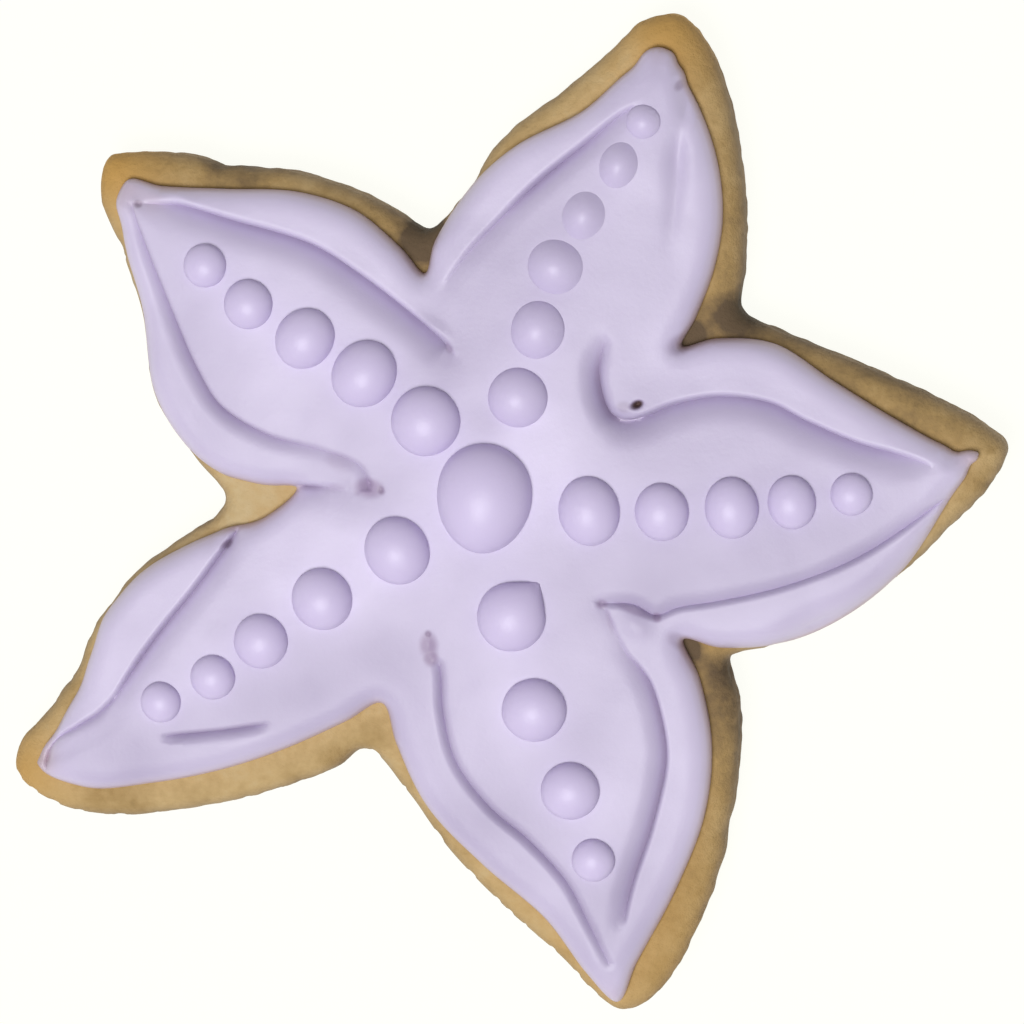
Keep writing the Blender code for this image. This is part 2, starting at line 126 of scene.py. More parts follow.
BARE_OVERLAP = 1.0  # how far its fine part runs in under the icing
HIDDEN_STEP = 3.0  # under the icing, and on the underside
HIDDEN_SPACING = 0.5 * HIDDEN_STEP
HIDDEN_MARGIN = 2.0
WALL_RINGS = 16
BEAD_SEGMENTS = 72
BEAD_RINGS = 16
BEAD_ROUNDING = 2  # each ring is averaged with itself turned by this many segments

INSIDE_ONLY = 1  # the triangles fill the outline and nothing else
MERGE_DISTANCE = 1e-5
TINY = 1e-9  # keeps a length from being nothing where it divides


@dataclass(frozen=True)
class Crease:
    """A groove between an arm's rim and its puffed middle, the mound.

    Its points are (along, across, share of the full depth). Its slopes on the rim's side and on
    the mound's have their own widths. Its bottom lies shifted from the points, towards the mound
    or, when negative, towards the rim. The tint tells how much painted shade darkens the icing in
    it, and a blunt one has a rounded bottom of that half width.
    """

    rim: float
    mound: float
    shift: float
    tint: float
    points: tuple
    blunt: float = 0.0


@dataclass(frozen=True)
class Arm:
    """One arm, in its own frame: along runs from the star's centre to the tip, across to the left.

    The arms stand in anticlockwise order, and a valley lies on its arm's left, as (radius,
    bearing). A bead is (along, across, half length, half width, softness), and the first one is
    the innermost.
    """

    name: str
    heading: float
    biscuit_reach: float
    biscuit_left: tuple
    biscuit_right: tuple
    biscuit_valley: tuple
    icing_reach: float
    icing_left: tuple
    icing_right: tuple
    icing_valley: tuple
    beads: tuple
    creases: tuple

    def axes(self):
        angle = math.radians(self.heading)
        along = np.array((math.cos(angle), math.sin(angle)))
        return along, np.array((-along[1], along[0]))

    def place(self, along, across):
        """The star's (x, y) of a place in the arm's frame."""
        axis, side = self.axes()
        return axis * along + side * across


RIGHT_ARM = Arm(
    name="right",
    heading=5.5,
    biscuit_reach=52.2,
    biscuit_left=(13.6, 10.6, 7.6, 4.65, 2.05),
    biscuit_right=(17.75, 15.2, 11.8, 7.1, 3.4),
    biscuit_valley=(31.6, 36.3),
    icing_reach=49.7,
    icing_left=(13.7, 12.65, 8.35, 4.1, 0.8),
    icing_right=(17.3, 17.5, 15.4, 11.1, 4.05),
    icing_valley=(25.1, 37.5),
    beads=(
        (10.7, -2.1, 3.1, 3.5, 0.0), (18.0, -2.8, 2.7, 2.9, 0.0), (25.0, -3.0, 2.7, 3.1, 0.0),
        (31.0, -3.0, 2.4, 2.7, 0.0), (37.0, -2.7, 2.1, 2.1, 0.0),
    ),
    creases=(
        Crease(rim=1.4, mound=2.6, shift=0.0, tint=1.0, points=(
            (13.8, 14.4, 0.3), (12.9, 11.9, 0.9), (12.9, 9.3, 1.15), (13.6, 7.3, 1.1),
            (14.8, 6.6, 0.8), (16.2, 6.6, 0.2),
        )),
        Crease(rim=0.7, mound=3.5, shift=0.13, tint=0.5, points=(
            (13.9, 7.1, 0.4), (14.8, 6.6, 0.9), (17.0, 6.8, 0.9), (20.1, 7.7, 0.9),
            (24.6, 8.1, 0.9), (29.6, 7.0, 0.95), (33.2, 4.8, 0.95), (38.1, 2.2, 0.88),
            (41.3, 1.0, 0.7), (43.4, 0.2, 0.4), (45.0, -0.5, 0.1),
        )),
        Crease(rim=0.7, mound=1.9, shift=0.17, tint=0.45, points=(
            (47.8, -2.9, 0.15), (46.4, -4.0, 0.4), (42.3, -6.5, 0.5), (38.2, -8.7, 0.46),
            (34.4, -10.2, 0.4), (28.4, -11.7, 0.38), (22.4, -12.5, 0.37), (18.6, -12.8, 0.37),
            (16.1, -13.4, 0.4), (13.9, -12.1, 0.4), (10.8, -11.7, 0.2),
        )),
    ),
)

UPPER_ARM = Arm(
    name="upper",
    heading=68.0,
    biscuit_reach=51.75,
    biscuit_left=(13.65, 12.2, 8.3, 5.1, 3.15),
    biscuit_right=(15.4, 13.3, 10.4, 7.0, 3.45),
    biscuit_valley=(27.5, 103.2),
    icing_reach=47.9,
    icing_left=(14.3, 13.2, 10.2, 5.1, 2.3),
    icing_right=(12.95, 12.85, 11.65, 8.8, 4.4),
    icing_valley=(23.3, 105.2),
    beads=(
        (10.9, 0.4, 3.0, 3.0, 0.2), (18.0, 1.0, 2.9, 2.7, 0.4), (24.5, 1.7, 2.7, 2.8, 0.6),
        (30.3, 0.9, 2.4, 2.1, 0.8), (36.2, -0.5, 2.3, 1.9, 0.7), (41.1, -1.2, 1.7, 1.7, 0.4),
    ),
    creases=(
        Crease(rim=0.6, mound=2.5, shift=0.12, tint=0.65, points=(
            (42.0, 0.4, 0.15), (40.7, 1.4, 0.35), (37.2, 3.4, 0.7), (31.6, 6.6, 0.85),
            (26.7, 8.8, 0.4), (22.8, 10.4, 0.25), (19.0, 11.5, 0.1),
        )),
        Crease(rim=1.5, mound=2.0, shift=-0.35, tint=0.3, blunt=0.5, points=(
            (46.0, -3.3, 0.3), (44.4, -4.0, 0.45), (42.0, -4.5, 0.15), (38.8, -5.3, 0.4),
            (35.6, -6.4, 0.25), (30.5, -7.8, 0.05),
        )),
    ),
)

UPPER_LEFT_ARM = Arm(
    name="upper_left",
    heading=139.0,
    biscuit_reach=52.0,
    biscuit_left=(17.6, 15.6, 9.65, 5.95, 3.5),
    biscuit_right=(15.2, 12.9, 8.85, 5.5, 2.2),
    biscuit_valley=(27.8, 181.4),
    icing_reach=48.6,
    icing_left=(15.5, 16.9, 14.9, 9.0, 4.7),
    icing_right=(13.25, 13.05, 10.6, 5.95, 1.8),
    icing_valley=(19.65, 178.0),
    beads=(
        (9.4, -2.2, 3.5, 3.5, 0.0), (17.2, -1.7, 3.2, 3.5, 0.0), (24.1, -0.4, 2.9, 3.2, 0.0),
        (30.7, 0.8, 2.5, 2.5, 0.0), (36.6, 0.8, 2.2, 2.2, 0.0),
    ),
    creases=(
        Crease(rim=0.85, mound=3.7, shift=0.12, tint=0.45, points=(
            (45.6, 0.2, 0.15), (44.4, -0.7, 0.4), (42.8, -1.9, 0.85), (38.0, -4.1, 1.1),
            (30.0, -7.75, 1.15), (24.5, -8.7, 1.15), (17.0, -9.2, 1.1), (13.6, -9.3, 0.8),
            (12.6, -9.3, 0.2),
        )),
        Crease(rim=1.8, mound=0.75, shift=0.36, tint=1.0, points=(
            (46.7, 1.6, 0.25), (43.3, 3.6, 0.4), (36.5, 7.2, 0.56), (30.6, 10.0, 0.68),
            (26.5, 11.2, 0.7), (20.7, 10.2, 0.5), (15.5, 7.6, 0.25), (11.7, 6.2, 0.2),
            (9.9, 6.9, 0.3),
        )),
    ),
)

LOWER_LEFT_ARM = Arm(
    name="lower_left",
    heading=210.5,
    biscuit_reach=58.5,
    biscuit_left=(16.0, 14.5, 12.0, 8.9, 4.9),
    biscuit_right=(12.35, 11.4, 7.8, 4.1, 2.6),
    biscuit_valley=(29.6, 243.4),
    icing_reach=55.6,
    icing_left=(12.5, 11.8, 10.35, 7.95, 4.9),
    icing_right=(9.65, 11.2, 10.95, 6.5, 1.75),
    icing_valley=(24.0, 242.6),
    beads=(
        (10.2, 0.1, 3.3, 3.5, 0.0), (19.5, 0.5, 3.1, 3.2, 0.0), (27.3, 1.0, 2.8, 2.8, 0.0),
        (33.6, 1.7, 2.3, 2.3, 0.0), (39.7, 1.2, 2.1, 2.1, 0.0),
    ),
    creases=(
        Crease(rim=0.5, mound=3.1, shift=0.22, tint=0.8, points=(
            (19.0, -10.7, 0.6), (23.3, -10.5, 0.8), (25.9, -9.3, 0.88), (30.6, -7.3, 0.82),
            (35.9, -5.4, 0.82), (39.6, -3.9, 0.85), (42.5, -2.5, 0.6), (44.5, -1.5, 0.2),
        )),
        Crease(rim=0.5, mound=1.3, shift=0.12, tint=1.0, points=(
            (41.0, -3.2, 0.2), (43.5, -1.9, 0.4), (46.0, -1.2, 0.4), (48.7, -1.1, 0.4),
            (51.5, -1.1, 0.35), (53.1, -0.6, 0.4), (54.2, 0.4, 0.4), (54.7, 1.2, 0.15),
        )),
        Crease(rim=1.35, mound=0.6, shift=0.05, tint=1.0, points=(
            (41.4, 4.5, 0.15), (40.3, 5.0, 0.48), (36.3, 6.8, 0.53), (32.8, 8.2, 0.5),
            (31.4, 8.7, 0.1),
        )),
        Crease(rim=0.9, mound=3.6, shift=0.12, tint=1.0, points=(
            (16.0, -10.6, 1.1), (14.6, -9.8, 0.85), (13.0, -8.8, 0.2),
        )),
    ),
)

LOWER_ARM = Arm(
    name="lower",
    heading=284.0,
    biscuit_reach=54.6,
    biscuit_left=(19.2, 17.0, 13.75, 9.4, 5.0),
    biscuit_right=(16.4, 13.4, 9.25, 4.75, 2.2),
    biscuit_valley=(29.3, 325.6),
    icing_reach=53.3,
    icing_left=(16.4, 15.95, 13.4, 8.5, 2.9),
    icing_right=(15.5, 14.1, 10.0, 4.95, 2.3),
    icing_valley=(24.5, 324.3),
    beads=(
        (12.2, -0.1, 3.5, 3.5, 0.0), (21.9, -0.2, 3.2, 3.3, 0.0), (30.7, 1.3, 2.9, 3.0, 0.0),
        (38.1, 1.8, 2.2, 2.2, 0.0),
    ),
    creases=(
        Crease(rim=0.6, mound=2.5, shift=0.05, tint=1.0, points=(
            (13.6, 9.3, 0.15), (15.0, 9.6, 0.12), (16.5, 9.8, 0.1), (18.5, 10.3, 0.2),
            (20.3, 11.2, 0.45), (22.2, 11.8, 0.68), (26.8, 11.9, 0.8), (30.1, 11.3, 0.8),
            (35.8, 8.5, 0.76), (40.8, 5.3, 0.68), (43.1, 4.0, 0.58), (44.6, 3.3, 0.35),
        )),
        Crease(rim=1.0, mound=1.1, shift=0.22, tint=0.9, points=(
            (15.2, -8.9, 0.35), (16.5, -9.1, 0.45), (19.8, -9.8, 0.5), (25.2, -9.85, 0.42),
            (30.5, -7.7, 0.42), (35.0, -4.5, 0.48), (39.8, -1.9, 0.46), (44.5, -0.7, 0.36),
            (48.9, 0.3, 0.2),
        )),
    ),
)

ARMS = (RIGHT_ARM, UPPER_ARM, UPPER_LEFT_ARM, LOWER_LEFT_ARM, LOWER_ARM)

# Dents in the biscuit's edge, or bulges when negative: (x, y, radius, depth).
DENTS = (
    (-27.5, 33.5, 1.3, 0.45), (-38.7, 24.7, 1, 0.35), (-9.5, 30, 2, 0.2), (-30, -35.5, 2, 0.25),
    (24.5, -34, 1.5, 0.25), (-2.5, 34, 1.5, 0.2), (-29, -2.4, 2.4, 0.35), (-43.4, -18.6, 2, 0.45),
    (-41.2, -14.6, 2.2, -0.35), (-20.8, 32.7, 2.2, -0.3), (33.2, -12.6, 3, 0.45),
    (-16, -28, 2, -0.25), (15.8, -51, 2, -0.35),
)

# Nicks in the icing's edge, or ragged bits that stick out when negative: (x, y, radius, depth).
NICKS = (
    (16.2, 44.6, 1.2, -0.6), (17.7, 45.3, 1.2, -0.5), (19.2, 44.3, 1, -0.7), (18.5, 45, 0.5, 0.3),
    (20.4, 42.6, 1, -0.4), (-39.5, -13.4, 2.4, -0.5), (-42.8, -20, 2.4, 0.4),
    (-47.4, -27.8, 1.2, 0.5), (-24.6, 1, 2, 0.35), (-26.6, -3.8, 2, -0.3), (-37.9, 29.6, 1.6, -0.6),
    (47.3, 5.4, 0.8, 0.35), (48.9, 4.4, 0.5, 0.45), (48.8, 3.5, 1, 0.4), (49.6, 3.9, 0.5, -0.3),
)

# Small pits in the icing, darkened and browned by painted shade, and patches of painted shadow
# where the depth is nothing: (x, y, half length, half width, heading, depth, how dark, how brown).
PITS = (
    (15.7, 9.6, 0.62, 0.38, 25.0, 1.2, 1.0, 0.97), (14.4, 9.4, 0.70, 0.55, 0.0, 0.0, 0.3, 0.12),
    (-11.6, 1.05, 1.45, 0.95, -6.0, 0.2, 1.0, 0.05), (-10.4, 0.85, 0.40, 0.50, 20.0, 0.2, 1.0, 0.2),
    (-12.6, 0.7, 0.60, 0.45, 20.0, 0.1, 0.6, 0.0), (-15.1, 1.0, 0.90, 0.50, 0.0, 0.1, 0.3, 0.0),
    (-14.6, 3.6, 1.50, 0.90, -20.0, 0.0, 0.25, 0.03),
    (-5.7, -13.8, 0.40, 0.36, 90.0, 0.2, 1.0, 0.2), (-5.7, -14.9, 1.30, 0.90, 90.0, 0.2, 1.0, 0.08),
    (-5.5, -16.1, 0.90, 0.75, 90.0, 0.2, 1.0, 0.12),
    (-3.3, 15.2, 0.60, 0.35, -60.0, 0.2, 0.6, 0.08), (-35.2, 29.6, 0.45, 0.38, 0.0, 0.2, 0.7, 0.25),
    (12.0, -10.5, 0.55, 0.45, 0.0, 0.2, 0.8, 0.08), (15.3, -11.1, 1.90, 0.35, -20.0, 0.2, 0.6, 0.0),
    (17.5, -11.8, 0.50, 0.40, -40.0, 0.1, 0.9, 0.1),
    (12.8, -12.2, 1.20, 0.30, -75.0, 0.0, 0.3, 0.03),
    (-26.7, -5.0, 0.60, 0.35, 45.0, 0.2, 0.8, 0.3), (20.0, 41.2, 0.60, 0.40, 60.0, 0.15, 0.6, 0.12),
    (19.8, 15.5, 1.20, 0.90, 40.0, 0.0, 0.5, 0.1), (19.5, -14.2, 1.10, 0.75, -40.0, 0.0, 0.4, 0.1),
)

# Low swellings of the icing, or hollows when negative:
# (x, y, half length, half width, heading, height).
SWELLS = (
    (-35.6, 30.8, 2.2, 1.4, 150.0, -0.8), (-46.5, -27.6, 2.4, 1.2, 210.0, -0.7),
    (47.8, 4.2, 1.6, 0.9, 5.0, -0.5), (17.9, 44.0, 1.6, 1.2, 68.0, -0.5),
    (12.6, -50.0, 2.0, 1.0, 284.0, -0.5), (19.1, 43.2, 0.5, 0.35, 60.0, 0.35),
    (20.0, 42.5, 0.45, 0.3, 100.0, 0.35), (17.4, 44.8, 0.6, 0.35, 20.0, 0.3),
    (15.4, -12.6, 1.6, 1.2, -40.0, 0.35), (-4.5, 17.1, 1.6, 0.6, -35.0, 0.25),
    (-31.0, 30.6, 1.6, 0.5, -32.0, 0.35), (48.3, 5.2, 0.50, 0.35, 50.0, 0.45),
    (49.3, 3.9, 0.50, 0.30, 0.0, 0.45),
)

# Where the icing is so thin that the biscuit shows through: (x, y, radius, amount).
THIN_SPOTS = (
    (-36.6, 31.6, 2, 0.5), (-38, 29.8, 1.4, 0.3), (-33.7, 30.1, 1.4, 0.25),
    (-47.2, -27.6, 1.8, 0.9), (49.2, 4.2, 1.3, 0.5), (48.2, 4.3, 0.8, 0.3), (18, 45, 1.5, 0.4),
    (12.9, -51.8, 1.8, 0.4),
)

# How much paler the icing is painted along its edge, and how far in that goes.
RIM_PALENESS = (0.9, 3.6)

# Where the icing is painted paler, or darker when negative, mostly painted light and shade over
# the mounds and rims, with a broad painted highlight in the middle, and partly its own tone:
# (x, y, radius, amount).
TONES = (
    (6, 4.5, 7, 1.1), (-6, -2, 8, 0.4), (-17, 22, 9, 0.5), (-30, 27, 4, 0.4), (-20, 12, 6, 0.6),
    (-9, 21, 4, 0.3), (-7, 9, 3, -0.5), (-7, 14, 3, 0.35), (0, 8, 2.5, -0.6), (-25, 17, 5, 0.4),
    (-15, 27, 4, 0.4), (-20, 3, 3.5, -0.4), (2, 27, 4, -0.3), (8, 36, 3, 0.5), (20, 12, 6, 0.25),
    (33, 9, 4, 0.25), (17, -10, 4, -0.35), (-14, -8, 4, 0.4), (-41, -21, 5, 0.35),
    (-4, -32, 3, -0.4), (12, -43, 5, -0.3), (18, -37, 4, -0.3), (1, 21, 6, -0.4), (2, 32, 4, 0.9),
    (16, 31, 5, 0.6), (-25, 24, 4, 0.4), (0, 31, 3, 0.3), (8, 28, 2.5, -0.35), (25, 26, 3, -0.3),
    (20, 20, 3, -0.25), (-4, 14, 3, -0.45), (1, 8, 2.5, -0.35), (16, 8, 3, -0.3),
    (30, -2, 6, -0.25), (38, -4, 5, -0.3), (-4, -4, 3, -0.2), (-16, -7.5, 4, 0.7),
    (-9.5, -16, 3.5, -0.4), (-36, -20, 4, 0.25), (-22, -24, 5, -0.4), (-18, -20, 3, -0.35),
    (-30, -25, 3, -0.3), (-35, -28, 3, -0.3), (-28, -16, 3, 0.3), (-30, -8, 4, 0.25),
    (18, -10, 4, -0.35), (-4, 13, 2.5, -0.3), (-8, 8, 2.5, 0.35), (2, -41, 4, -0.4),
    (-3, -33, 3, -0.4), (-37, -29, 3, -0.25), (24.5, 22.5, 3.5, -0.4), (17, 41, 3.5, -0.6),
    (30, 11, 5, 0.3), (14, 7.5, 4, -0.3), (24, -4, 10, -0.45), (34, -1, 6, -0.3), (11, -8, 5, -0.3),
    (40, 4, 7, 0.2), (-15, -8, 6.5, 0.9), (-21, -9, 5, 0.5), (-32, -10, 5, 0.5), (-12, 0, 3, -0.9),
    (-14, -20, 7, -0.9), (-11, -15, 4, -0.4), (-23, -23, 6, -0.45), (-37, -27, 7, -0.9),
    (-36, -17.5, 6, 0.6), (10, -24, 3.5, -0.4), (2, -21, 5, 0.4), (17, -24, 5, 0.25),
    (12, -32, 4, 0.3), (13, -43, 6, -0.8), (1, -34, 5, -0.8),
)

# The bearing that the edges in painted shade face, away from the light, and how much darker they are
# painted.
PAINTED_SHADE_SIDE = (45.0, 0.30)

# Where the biscuit is browner, or paler when negative, partly from baking and partly painted
# shade, which is darkest in the valleys between the arms: (x, y, radius, amount).
BROWNED_AND_SHADED = (
    (-6, 26, 2.1, 1.8), (-25.4, 32.3, 3, 0.25), (-28, 33.6, 1.5, 0.2), (-15.6, 31.2, 3.5, -0.12),
    (25.3, 21, 6, 0.15), (24.9, 18.3, 2.4, 0.6), (20.9, 16.2, 1.3, 1), (41.5, 10.3, 7, 0.05),
    (20.4, -15.2, 1.1, 1.3), (23.2, -16.8, 2.6, 0.35), (50.4, 5.9, 2.5, -0.2), (50, 0.9, 2.5, 0.3),
    (31.6, 14.8, 3, 0.12), (24, -22.5, 3, 0.2), (24.5, -26, 8, 0.12), (20.3, -42, 6, 0.15),
    (16.8, -49.3, 4, 0.12), (-45.2, -22.4, 3, 0.2), (-12, -25.1, 1.8, 0.25),
    (-16, -27.6, 1.7, 0.25), (-20, -30.2, 1.7, 0.25), (-39.3, -32.5, 6, 0.2), (-23.5, -1, 5, -0.15),
)

# Where it baked to a golden brown: (x, y, radius, amount).
GOLDEN = (
    (-39.5, 34, 5.5, 1.1), (-51.5, -30, 6, 0.9), (18.5, 47.5, 6, 0.85), (0, 45, 8, 0.25),
    (15, -46, 14, 0.35),
)


# Lines and distances in plan, in millimetres.


def blend(start, end, from_knot, to_knot, knot):
    share = (knot - from_knot) / (to_knot - from_knot)
    return start + (end - start) * share


def spline(points, closed, step):
    """A centripetal Catmull-Rom curve through every point, with about one vertex every step."""
    points = np.asarray(points, float)
    count = len(points)
    if closed:
        padded = np.concatenate([points[-1:], points, points[:2]])
    else:
        first = 2 * points[:1] - points[1:2]
        last = 2 * points[-1:] - points[-2:-1]
        padded = np.concatenate([first, points, last])
    curve = []
    for i in range(count if closed else count - 1):
        p0, p1, p2, p3 = padded[i : i + 4]
        spans = np.linalg.norm(np.diff(padded[i : i + 4, :2], axis=0), axis=1)
        knots = np.concatenate([[0.0], np.cumsum(np.sqrt(spans))])
        pieces = max(1, round(spans[1] / step))
        for t in np.linspace(knots[1], knots[2], pieces, endpoint=False):
            a1 = blend(p0, p1, knots[0], knots[1], t)
            a2 = blend(p1, p2, knots[1], knots[2], t)
            a3 = blend(p2, p3, knots[2], knots[3], t)
            b1 = blend(a1, a2, knots[0], knots[2], t)
            b2 = blend(a2, a3, knots[1], knots[3], t)
            curve.append(blend(b1, b2, knots[1], knots[2], t))
    if not closed:
        curve.append(points[-1])
    return np.array(curve)


def polar(radius, bearing):
    angle = math.radians(bearing)
    return np.array((radius * math.cos(angle), radius * math.sin(angle)))


def flank(arm, valley, reach, stations, widths, side):
    """Points of one side of an arm, from near its valley to near its tip."""
    axis, _ = arm.axes()
    start = float(valley @ axis)
    points = []
    for share, width in zip(stations, widths):
        points.append(arm.place(start + share * (reach - start), side * width))
    return points


def star_outline(layer, stations, step):
    """The closed outline of the biscuit or the icing, anticlockwise."""
    valleys = [polar(*getattr(arm, layer + "_valley")) for arm in ARMS]
    points = []
    for i, arm in enumerate(ARMS):
        reach = getattr(arm, layer + "_reach")
        right = flank(arm, valleys[i - 1], reach, stations, getattr(arm, layer + "_right"), -1)
        left = flank(arm, valleys[i], reach, stations, getattr(arm, layer + "_left"), 1)
        points += right + [arm.place(reach, 0.0)] + left[::-1] + [valleys[i]]
    return spline(points, True, step)


def normals(line, closed):
    """The unit normal to the left of a line at each of its vertices."""
    if closed:
        run = np.roll(line, -1, axis=0) - np.roll(line, 1, axis=0)
    else:
        run = np.gradient(line, axis=0)
    normal = np.stack([-run[:, 1], run[:, 0]], axis=1)
    return normal / np.linalg.norm(normal, axis=1, keepdims=True)


def inset(outline, distance):
    """The outline moved inwards along its corners' normals."""
    return outline + normals(outline, True) * np.reshape(distance, (-1, 1))


def oval_radius(places, x, y, half_length, half_width, heading):
    """How far each place is from an oval's middle, where 1 is on the oval."""
    turn = math.radians(heading)
    east = places[:, 0] - x
    north = places[:, 1] - y
    along = east * math.cos(turn) + north * math.sin(turn)
    across = north * math.cos(turn) - east * math.sin(turn)
    return np.hypot(along / half_length, across / half_width)


def patches(places, table):
    """The sum of soft round patches."""
    total = np.zeros(len(places))
    for x, y, radius, amount in table:
        total += amount * np.exp(-(oval_radius(places, x, y, radius, radius, 0.0) ** 2))
    return total


class Path:
    """A line in plan, open or closed, that tells how far places are from it."""

    def __init__(self, line, closed):
        self.line = line[:, :2]
        self.shares = line[:, 2:]
        self.closed = closed
        self.normals = normals(self.line, closed)
        self.tree = kdtree.KDTree(len(line))
        for i, (x, y) in enumerate(self.line):
            self.tree.insert((x, y, 0.0), i)
        self.tree.balance()

    def beside(self, distance):
        return self.line + self.normals * distance

    def nearest(self, places):
        """Each place's distance, plus on the line's left and minus on its right, and its spot.

        The spot is where along the line it is nearest to, counted in vertices.
        """
        last = len(self.line) - 1
        index = np.array([self.tree.find((x, y, 0.0))[1] for x, y in places])
        away = places - self.line[index]
        best = np.linalg.norm(away, axis=1)
        spot = index.astype(float)
        side = (away * self.normals[index]).sum(axis=1)
        for step in (-1, 1):
            other = index + step
            other = other % len(self.line) if self.closed else np.clip(other, 0, last)
            run = self.line[other] - self.line[index]
            share = (away * run).sum(axis=1) / np.maximum((run**2).sum(axis=1), TINY)
            gap = np.linalg.norm(away - share[:, None] * run, axis=1)
            better = (share > 0) & (share < 1) & (gap < best)
            cross = (run[:, 0] * away[:, 1] - run[:, 1] * away[:, 0]) * step
            best = np.where(better, gap, best)
            spot = np.where(better, index + step * share, spot)
            side = np.where(better, cross, side)
        return np.where(side < 0, -best, best), spot

    def depth(self, places):
        """How far inside the closed anticlockwise line each place is, or minus how far outside."""
        return self.nearest(places)[0]


BISCUIT_OUTLINE = star_outline("biscuit", BISCUIT_STATIONS, OUTLINE_STEP)
BISCUIT_OUTLINE = inset(BISCUIT_OUTLINE, patches(BISCUIT_OUTLINE, DENTS))
ICING_OUTLINE = star_outline("icing", ICING_STATIONS, OUTLINE_STEP)
ICING_OUTLINE = inset(ICING_OUTLINE, patches(ICING_OUTLINE, NICKS))
BISCUIT_EDGE = Path(BISCUIT_OUTLINE, True)
ICING_EDGE_LINE = Path(ICING_OUTLINE, True)


def crease_paths():
    """Each crease with its smooth line, whose left is the side of the arm's middle."""
    paths = []
    for arm in ARMS:
        for crease in arm.creases:
            points = [(*arm.place(along, across), share) for along, across, share in crease.points]
            line = spline(points, False, CREASE_STEP)
            middle = len(line) // 2
            run = line[middle + 1, :2] - line[middle - 1, :2]
            inwards = -arm.axes()[1] * sum(across for _, across, _ in crease.points)
            if run[0] * inwards[1] - run[1] * inwards[0] < 0:
                line = line[::-1]
            line[:, :2] += crease.shift * normals(line[:, :2], False)
            paths.append((crease, Path(line, False)))
    return paths


CREASES = crease_paths()


# Heights, in millimetres, of places given in plan.


def rounded(distance, reach):
    """A quarter-circle rise from 0 at no distance to 1 at the reach."""
    short = 1.0 - np.clip(distance / reach, 0.0, 1.0)
    return np.sqrt(1.0 - short**2)


def waves(places, size, seed):
    """Smooth noise over plan places, from -1 to 1, with features of about the given size."""
    return np.array([noise.noise((x / size, y / size, seed)) for x, y in places])


def biscuit_top(places):
    gap = np.maximum(BISCUIT_EDGE.depth(places), 0.0)
    return BISCUIT_THICKNESS - BISCUIT_SHOULDER_DROP * (1.0 - rounded(gap, BISCUIT_SHOULDER))


def crease_drop(places):
    """How deep the creases cut at each place, and how strongly their painted shade darkens it, from 0
    to 1.
    """
    drops = np.zeros(len(places))
    tints = np.zeros(len(places))
    rim_hollow, mound_hollow = CREASE_HOLLOW
    offset, half_width = GROOVE_SHADE_LINE
    for crease, path in CREASES:
        low = path.line.min(axis=0) - crease.mound
        high = path.line.max(axis=0) + crease.mound
        near = np.flatnonzero(((places > low) & (places < high)).all(axis=1))
        if not len(near):
            continue
        gap, spot = path.nearest(places[near])
        share = np.interp(spot, np.arange(len(path.line)), path.shares[:, 0])
        reach = np.where(gap > 0, crease.mound, crease.rim)
        hollow = np.where(gap > 0, mound_hollow, rim_hollow)
        away = np.hypot(gap, crease.blunt) - crease.blunt
        slope = np.clip(1.0 - away / reach, 0.0, 1.0) ** hollow
        drops[near] += (share * CREASE_DEPTH * slope) ** CREASE_JOIN
        tint = crease.tint * share * np.exp(-(((gap - offset) / half_width) ** 2))
        tints[near] = np.maximum(tints[near], tint)
    return drops ** (1 / CREASE_JOIN), np.clip(tints, 0.0, 1.0)


def pit_drop(places):
    """The depth of the pits at each place, and how dark and how brown their painted shade makes them.
    """
    found = np.zeros((3, len(places)))
    for *oval, depth, dark, brown in PITS:
        radius = oval_radius(places, *oval)
        fill = np.clip((PIT_REACH - radius) / PIT_FADE, 0.0, 1.0)
        fill = fill * fill * (3.0 - 2.0 * fill)
        bowl = np.clip(1.0 - radius / PIT_REACH, 0.0, 1.0) ** PIT_BOWL
        found = np.maximum(found, np.array([depth * bowl, dark * fill, brown * fill]))
    return found


def swelling(places):
    total = np.zeros(len(places))
    for *oval, height in SWELLS:
        total += height * np.exp(-(oval_radius(places, *oval) ** 2))
    return total


def icing_top(places):
    gap = np.maximum(ICING_EDGE_LINE.depth(places), 0.0)
    room = rounded(gap, ICING_SHOULDER[1])
    relief = swelling(places) - crease_drop(places)[0] - pit_drop(places)[0]
    for height, size, seed in WAVES:
        relief += height * waves(places, size, seed)
    crown = ICING_CROWN[0] * rounded(gap, ICING_CROWN[1])
    return biscuit_top(places) + ICING_EDGE + ICING_SHOULDER[0] * room + crown + relief * room


# Meshes.


def new_piece(name, bm, material, slot, *nodes):
    bmesh.ops.recalc_face_normals(bm, faces=bm.faces)
    mesh = bpy.data.meshes.new(name)
    bm.to_mesh(mesh)
    bm.free()
    mesh.shade_smooth()
    mesh.materials.append(material)
    obj = bpy.data.objects.new(name, mesh)
    bpy.context.scene.collection.objects.link(obj)
    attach(obj, "root")
    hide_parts(*nodes)
    return obj


def add_attribute(obj, name, values):
    attribute = obj.data.attributes.new(name, "FLOAT", "POINT")
    attribute.data.foreach_set("value", np.asarray(values, np.float32))


def places_of(obj):
    """The plan places and the heights of a mesh's vertices, in millimetres."""
    found = np.empty(len(obj.data.vertices) * 3, np.float32)
    obj.data.vertices.foreach_get("co", found)
    found = found.reshape(-1, 3).astype(float) / MM
    return found[:, :2] + BISCUIT_MIDDLE, found[:, 2]


def add_ring(bm, outline, height):
    heights = np.broadcast_to(height, len(outline))
    places = np.column_stack([outline[:, :2] - BISCUIT_MIDDLE, heights]) * MM
    return [bm.verts.new(place) for place in places]


def ring_plan(ring):
    return np.array([(vert.co.x / MM, vert.co.y / MM) for vert in ring]) + BISCUIT_MIDDLE


